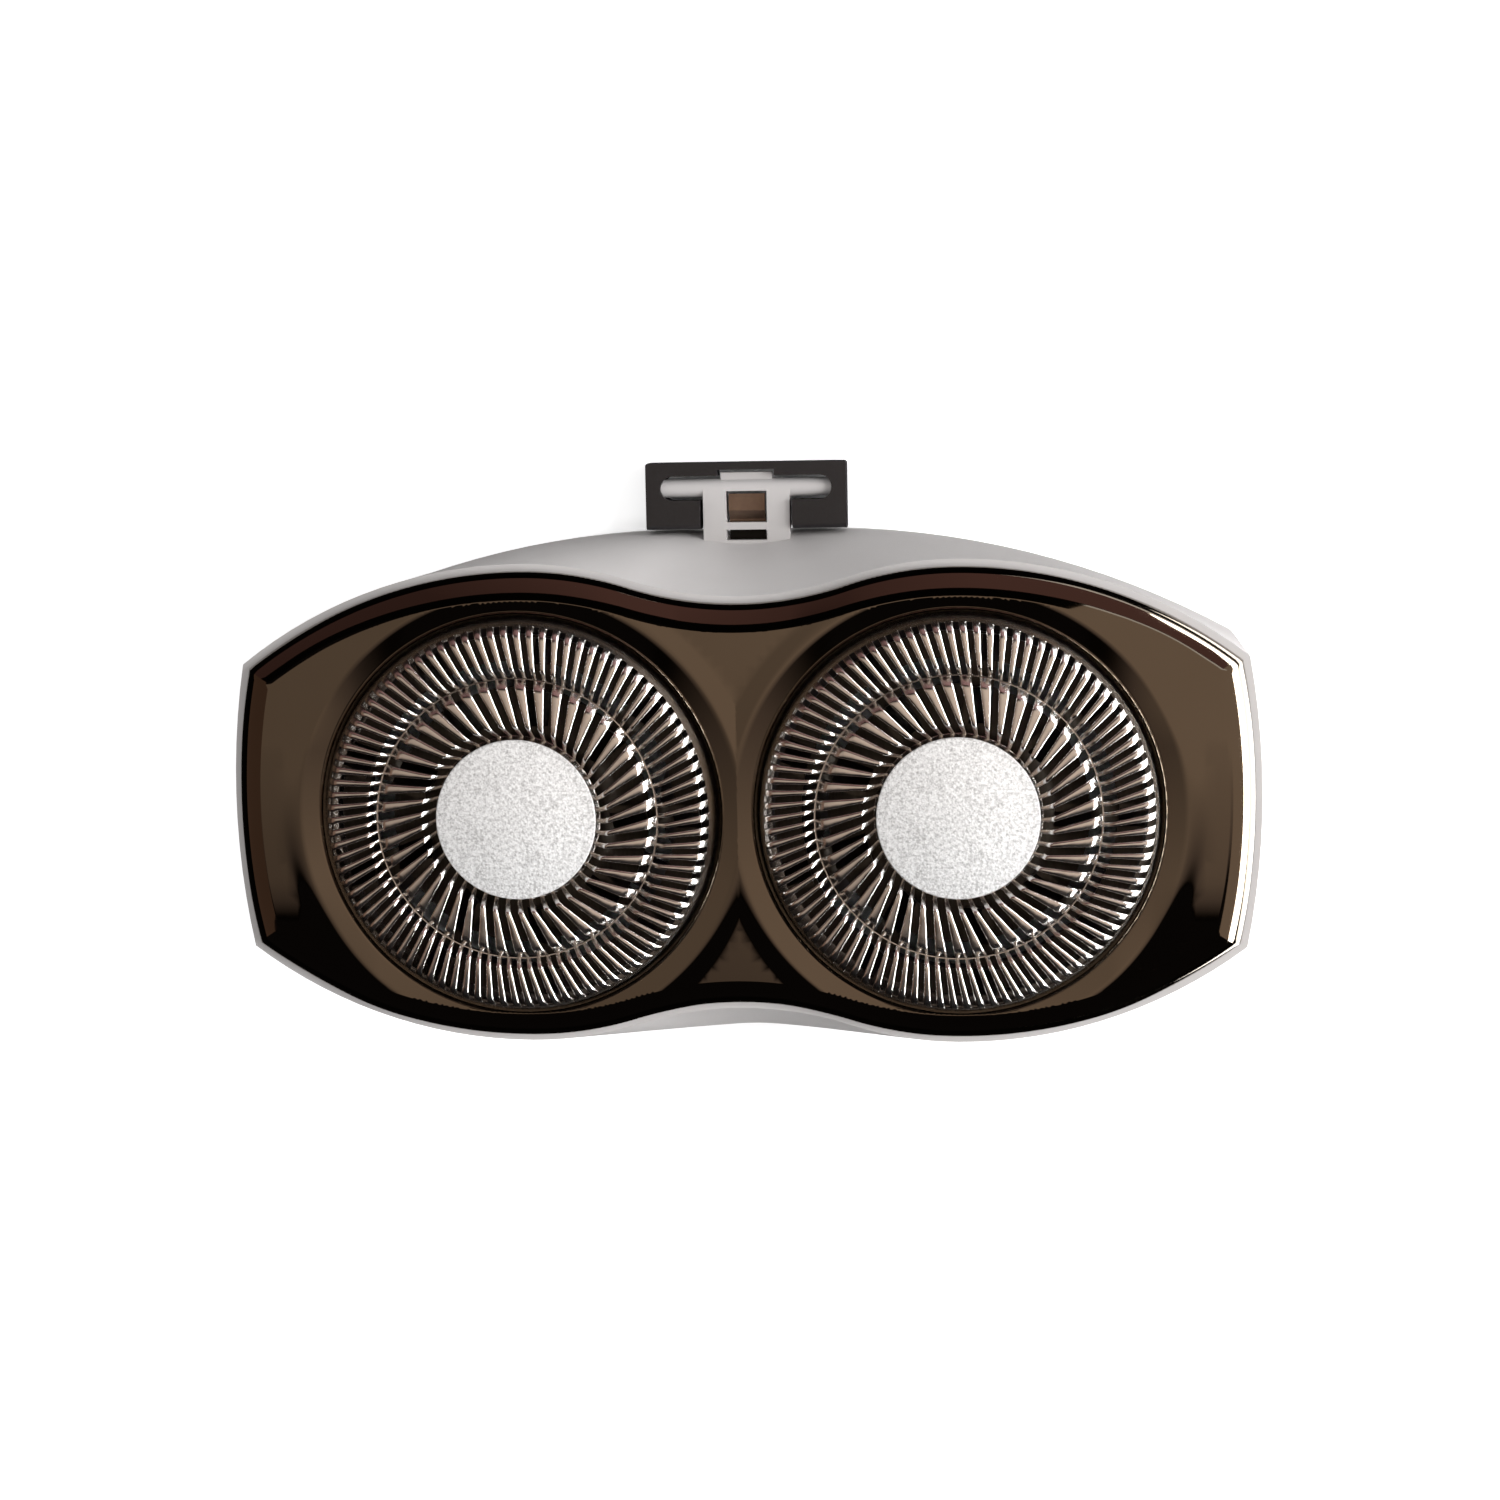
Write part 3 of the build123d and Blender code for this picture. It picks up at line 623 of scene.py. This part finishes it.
def etched_foil(name, x, material):
    """Foil with its slots carried over the slopes of both tracks and softly rounded ribs."""
    flange = foil_top - flange_low - flange_thickness
    groove = 0.55
    fillet_steps = 8
    sharp_angle = math.radians(50)
    inner_track = [
        (4.2, 0.2, 0), (4.5, 0.2, 0), (4.7, 0.4, 0), (4.9, 1.1, 0), (4.98, 1.05, 1), (5.2, 0.6, 1),
        (5.52, 0.12, 1), (5.6, 0.03, 1), (5.7, 0.0, 1), (6.3, 0.0, 1), (7.2, 0.0, 1), (7.68, 0.0, 1),
        (7.86, 0.02, 1), (7.99, 0.1, 1), (8.3, 0.45, 1), (8.36, groove, 1), (8.39, groove + 0.03, 0),
        (8.43, groove + 0.04, 0),
    ]
    outer_track = [
        (8.43, groove + 0.04, 0), (8.47, groove + 0.03, 0), (8.5, groove, 1), (8.56, 0.45, 1),
        (8.92, 0.1, 1), (9.03, 0.02, 1), (9.15, 0.0, 1), (9.8, 0.0, 1), (10.7, 0.0, 1), (10.95, 0.03, 1),
        (11.14, 0.13, 1), (11.4, 0.45, 1), (11.48, 0.6, 1), (11.5, 0.66, 0), (11.6, 0.95, 0),
        (foil_radius, 1.3, 0),
    ]
    for k in range(fillet_steps + 1):
        turn = math.pi / 2 * k / fillet_steps
        outer_track.append((foil_radius + flange_fillet * (1 - math.cos(turn)),
                            flange - flange_fillet * (1 - math.sin(turn)), 0))
    outer_track.append((flange_radius, flange, 0))
    corners, polygons = slotted_sheet(inner_track, inner_slots, inner_slot_width)
    more_corners, more_polygons = slotted_sheet(outer_track, outer_slots, outer_slot_width)
    polygons += [[k + len(corners) for k in polygon] for polygon in more_polygons]
    mesh = bpy.data.meshes.new(name)
    mesh.from_pydata([Vector(place) * MM for place in corners + more_corners], [], polygons)
    shape = bmesh.new()
    shape.from_mesh(mesh)
    bmesh.ops.recalc_face_normals(shape, faces=shape.faces)
    shape.to_mesh(mesh)
    shape.free()
    mesh.polygons.foreach_set("use_smooth", [True] * len(mesh.polygons))
    mesh.set_sharp_from_angle(angle=sharp_angle)
    piece = new_object(name, mesh, material)
    piece.location.x = x * MM
    return piece


def domed_cap(name, x, material):
    """Cap with a slightly domed face, so that the light runs across it as on the real disc."""
    dome_steps = 16
    turn_steps = 96
    weld = 0.0001 * MM
    sharp_angle = math.radians(30)
    stem_low, cap_high = cap_low.z / MM, cap_top.z / MM
    profile = [(0, cap_high)]
    for k in range(1, dome_steps + 1):
        radius = (cap_radius - cap_edge) * k / dome_steps
        profile.append((radius, cap_high - cap_dome * (radius / cap_radius) ** 2))
    edge = profile[-1][1] - cap_edge
    profile += [(cap_radius, edge), (cap_radius, cap_seat), (stem_radius, cap_seat), (stem_radius, stem_low),
                (bore_radius, stem_low), (bore_radius, stem_low + bore_depth), (0, stem_low + bore_depth)]
    shape = bmesh.new()
    line = [shape.verts.new((radius * MM, 0, z * MM)) for radius, z in profile]
    edges = [shape.edges.new(pair) for pair in zip(line, line[1:])]
    bmesh.ops.spin(shape, geom=line + edges, cent=(0, 0, 0), axis=(0, 0, 1), angle=2 * math.pi,
                   steps=turn_steps, use_merge=True)
    bmesh.ops.remove_doubles(shape, verts=shape.verts, dist=weld)
    bmesh.ops.recalc_face_normals(shape, faces=shape.faces)
    mesh = bpy.data.meshes.new(name)
    shape.to_mesh(mesh)
    shape.free()
    mesh.polygons.foreach_set("use_smooth", [True] * len(mesh.polygons))
    mesh.set_sharp_from_angle(angle=sharp_angle)
    piece = new_object(name, mesh, material)
    piece.location.x = x * MM
    return piece


def seen_rays(tree):
    """Socket that is 1 for rays that show a surface: to the camera, in a mirror or through glass."""
    path = add(tree, "LightPath")
    seen = add(tree, "Math", {0: path.outputs["Is Camera Ray"], 1: path.outputs["Is Glossy Ray"]},
               operation="MAXIMUM")
    seen = add(tree, "Math", {0: seen.outputs[0], 1: path.outputs["Is Transmission Ray"]},
               operation="MAXIMUM")
    return seen.outputs[0]


def studio_floor():
    """Matt white table that keeps the shadow under the part and glows up to white away from it."""
    material, tree = new_material("white_table")
    place = add(tree, "TexCoord").outputs["Object"]
    grain = add(tree, "TexNoise", {"Vector": place, "Scale": per_mm(30)})
    tint = add(tree, "ValToRGB", {"Fac": grain.outputs["Fac"]})
    tint.color_ramp.elements[0].color = linear("#f4f4f4")
    tint.color_ramp.elements[1].color = linear("#f7f7f7")
    oval = add(tree, "Mapping", {
        "Vector": place, "Scale": (per_mm(shadow_reach[0]), per_mm(shadow_reach[1]), 1.0)})
    away = add(tree, "VectorMath", {0: oval.outputs["Vector"]}, operation="LENGTH")
    off_head = add(tree, "MapRange", {
        "Value": away.outputs["Value"], "From Min": shadow_fade[0], "From Max": shadow_fade[1]})
    low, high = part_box("hinge_bracket")
    middle, half = (low + high) / 2, (high - low) / 2
    reach = add(tree, "VectorMath", {0: place, 1: (middle.x, middle.y, 0)}, operation="SUBTRACT")
    reach = add(tree, "VectorMath", {0: reach.outputs[0], 1: (1 / half.x, 1 / half.y, 0)},
                operation="MULTIPLY")
    reach = add(tree, "VectorMath", {0: reach.outputs[0]}, operation="ABSOLUTE")
    sides = add(tree, "SeparateXYZ", {"Vector": reach.outputs[0]})
    farther = add(tree, "Math", {0: sides.outputs["X"], 1: sides.outputs["Y"]}, operation="MAXIMUM")
    off_bracket = add(tree, "MapRange", {
        "Value": farther.outputs[0], "From Min": bracket_fade[0], "From Max": bracket_fade[1]})
    clear = add(tree, "Math", {0: off_head.outputs["Result"], 1: off_bracket.outputs["Result"]},
                operation="MINIMUM")
    shown = add(tree, "Math", {0: seen_rays(tree), 1: clear.outputs[0]}, operation="MULTIPLY")
    lift = add(tree, "Math", {0: shown.outputs[0], 1: table_lift}, operation="MULTIPLY")
    shader = add(tree, "BsdfPrincipled", {
        "Base Color": tint.outputs["Color"], "Roughness": 0.9, "Specular IOR Level": 0.0,
        "Emission Color": linear(white), "Emission Strength": lift.outputs[0]})
    add(tree, "OutputMaterial", {"Surface": shader.outputs[0]})
    mesh = bpy.data.meshes.new("table")
    corners = [(x * table_half, y * table_half, 0) for x, y in ((-1, -1), (1, -1), (1, 1), (-1, 1))]
    mesh.from_pydata(corners, [], [(0, 1, 2, 3)])
    return new_object("table", mesh, material)


def card(name, hex_code, strength, place, across, up, shades=(), left_share=1.0):
    """Studio card that only reflections see: a plane between two half extents about its middle, in metres.
    Shades are further colours at shares of its height, below its own colour. The left share is what
    remains of its strength on the left."""
    material, tree = new_material(name)
    colour = linear(hex_code)
    if shades:
        height = add(tree, "SeparateXYZ", {"Vector": add(tree, "TexCoord").outputs["UV"]})
        ramp = add(tree, "ValToRGB", {"Fac": height.outputs["Y"]})
        ramp.color_ramp.elements[0].color = linear(shades[0][1])
        ramp.color_ramp.elements[0].position = shades[0][0]
        ramp.color_ramp.elements[1].color = colour
        ramp.color_ramp.elements[1].position = full_colour_share
        for share, shade in shades[1:]:
            ramp.color_ramp.elements.new(share).color = linear(shade)
        colour = ramp.outputs["Color"]
    along = add(tree, "SeparateXYZ", {"Vector": add(tree, "TexCoord").outputs["Object"]})
    level = add(tree, "MapRange", {
        "Value": along.outputs["X"], "From Min": dim_span[0], "From Max": dim_span[1],
        "To Min": strength * left_share, "To Max": strength})
    glow = add(tree, "Emission", {"Color": colour, "Strength": level.outputs["Result"]})
    add(tree, "OutputMaterial", {"Surface": glow.outputs[0]})
    mesh = bpy.data.meshes.new(name)
    middle, a, b = Vector(place), Vector(across), Vector(up)
    mesh.from_pydata([middle - a - b, middle + a - b, middle + a + b, middle - a + b], [], [(0, 1, 2, 3)])
    flat = mesh.uv_layers.new(name="card")
    for corner, uv in zip(flat.data, ((0, 0), (1, 0), (1, 1), (0, 1))):
        corner.uv = uv
    piece = new_object(name, mesh, material)
    piece.visible_camera = False
    piece.visible_diffuse = False
    piece.visible_shadow = False
    piece.visible_transmission = False


def softbox(name, place, width, height, watts):
    """Rectangular lamp aimed at the part, in metres, that no reflection shows."""
    lamp = bpy.data.lights.new(name, "AREA")
    lamp.shape = "RECTANGLE"
    lamp.size = width
    lamp.size_y = height
    lamp.energy = watts
    holder = bpy.data.objects.new(name, lamp)
    holder.location = place
    holder.rotation_euler = (Vector((0, 0, 0)) - Vector(place)).to_track_quat("-Z", "Y").to_euler()
    holder.visible_glossy = False
    bpy.context.scene.collection.objects.link(holder)


# Finishes
plating = gunmetal_plating()
grey_abs = satin_grey_abs()
nylon = black_nylon()
charcoal = charcoal_abs()
acetal = natural_acetal()
foil_steel = polished_foil_steel()
shade_darkened_steel = cutter_steel_painted_dark()
spring_steel = bright_spring_steel()
bronze = brown_spring_bronze()
zinc = zinc_plated_steel()
silver_cap = silver_flake_lacquer()
node_finishes = {
    "head_housing": grey_abs,
    "retainer_frame": charcoal,
    "lock_knob": nylon,
    "hinge_bracket": nylon,
    "lock_screw": zinc,
    "plate_screws": zinc,
    "lift_spring": bronze,
    "face_plate": plating,
}
for side in ("left", "right"):
    node_finishes[side + "_foil"] = foil_steel
    node_finishes[side + "_foil_cap"] = silver_cap
    node_finishes[side + "_foil_bush"] = shade_darkened_steel
    node_finishes[side + "_cutter_blades"] = shade_darkened_steel
    node_finishes[side + "_cutter_hub"] = acetal
    node_finishes[side + "_float_spring"] = spring_steel
for name, finish in node_finishes.items():
    for holder in nodes[name].material_slots:
        holder.material = finish

# Pieces that stand for the solids where the photograph shows finer form
cover = face_cover(plating)
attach(cover, "head")
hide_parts("face_plate")
for side, x in (("left", -foil_x), ("right", foil_x)):
    screen = etched_foil(side + "_etched_foil", x, foil_steel)
    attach(screen, side + "_foil_unit")
    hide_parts(side + "_foil")
    disc = domed_cap(side + "_domed_cap", x, silver_cap)
    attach(disc, side + "_foil_unit")
    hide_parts(side + "_foil_cap")
    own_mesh(nodes[side + "_float_spring"])

# Camera
camera = bpy.data.objects.new("camera", bpy.data.cameras.new("camera"))
bpy.context.scene.collection.objects.link(camera)
camera.data.sensor_width = sensor_width
camera.data.lens = lens_pixels / image_pixels * sensor_width
camera.data.clip_start = near_clip
turn = (Matrix.Rotation(math.radians(view_roll), 3, "Z") @ Matrix.Rotation(math.radians(view_yaw), 3, "Y")
        @ Matrix.Rotation(math.radians(view_pitch), 3, "X")).transposed()
place = Vector((0, 0, aim_height)) + turn @ Vector((-view_shift[0], -view_shift[1], view_distance))
camera.matrix_world = Matrix.Translation(place * MM) @ turn.to_4x4()
bpy.context.scene.camera = camera

# Table, and a lamp on each side: the right one lights the part, the left one softens its shade
studio_floor()
softbox("right_softbox", (0.36, 0.0, 0.15), width=0.3, height=0.3, watts=2.8)
softbox("left_softbox", (-0.36, 0.0, 0.1), width=0.3, height=0.2, watts=0.3)

# Cards above, which the flat of the plate mirrors
card("overhead_card", cream, 1.0, (0, 0.02, 0.5), (0.6, 0, 0), (0, 0.2, 0),
     shades=((0.02, black), (0.1, "#8d7d74")), left_share=0.62)
card("dark_ceiling", dark, 1.0, (0, 0, 0.52), (0.6, 0, 0), (0, 0.31, 0))

# Cards to the right, which burn out the right end and light the foils' ribs
card("right_card", white, glare, (0.3, 0.0, 0.055), (0, 0.3, 0), (0, 0, 0.055))
card("right_valance", cream, 1.0, (0.3, 0.0, 0.2), (0, 0.3, 0), (0, 0, 0.09))
card("right_apron", white, 7.0, (0.168, 0.0, 0.0006), (0.132, 0, 0), (0, 0.03, 0))

# Card in front, which the lower edge mirrors
card("front_flag", dark, 1.0, (0, -0.3, 0.26), (0.6, 0, 0), (0, 0, 0.26))

# Cards behind, for the red band along the upper edge and the glint at its right corner
card("back_card", brown_red, 1.0, (0, 0.3, 0.15), (0.6, 0, 0), (0, 0, 0.15), left_share=0.45)
card("dark_valance", black, 1.0, (0, 0.3, 0.41), (0.6, 0, 0), (0, 0, 0.11))
card("brown_valance", cream, 1.0, (0.365, 0.22, 0.38), (0.235, 0, 0), (0, 0, 0.13))
card("light_strip", white, 1.6, (0.215, 0.22, 0.238), (0.085, 0, 0), (0, 0, 0.012))
card("corner_card", white, glare, (0.26, 0.29, 0.0), (0.04, 0, 0.06), (0, 0, 0.08))

# Cards to the left and on the table, which keep the other edges dark
card("left_flag", brown, 1.0, (-0.6, 0.0, 0.26), (0, 0.31, 0), (0, 0, 0.26))
card("dark_apron", black, 1.0, (-0.28, 0.0, 0.0004), (0.32, 0, 0), (0, 0.31, 0))
card("front_apron", black, 1.0, (0.17, -0.165, 0.0005), (0.13, 0, 0), (0, 0.135, 0))
card("back_apron", black, 1.0, (0.17, 0.05, 0.0005), (0.13, 0, 0), (0, 0.02, 0))

# White surround for what is seen and mirrored, and a plain fill for diffuse light
world = bpy.data.worlds.new("studio")
world.use_nodes = True
bpy.context.scene.world = world
sky_tree = world.node_tree
sky_tree.nodes.clear()
level = add(sky_tree, "MapRange", {"Value": seen_rays(sky_tree), "To Min": fill_light, "To Max": 1.0})
sky = add(sky_tree, "Background", {"Color": linear(white), "Strength": level.outputs["Result"]})
add(sky_tree, "OutputWorld", {"Surface": sky.outputs[0]})

bpy.context.scene.view_settings.view_transform = "Standard"
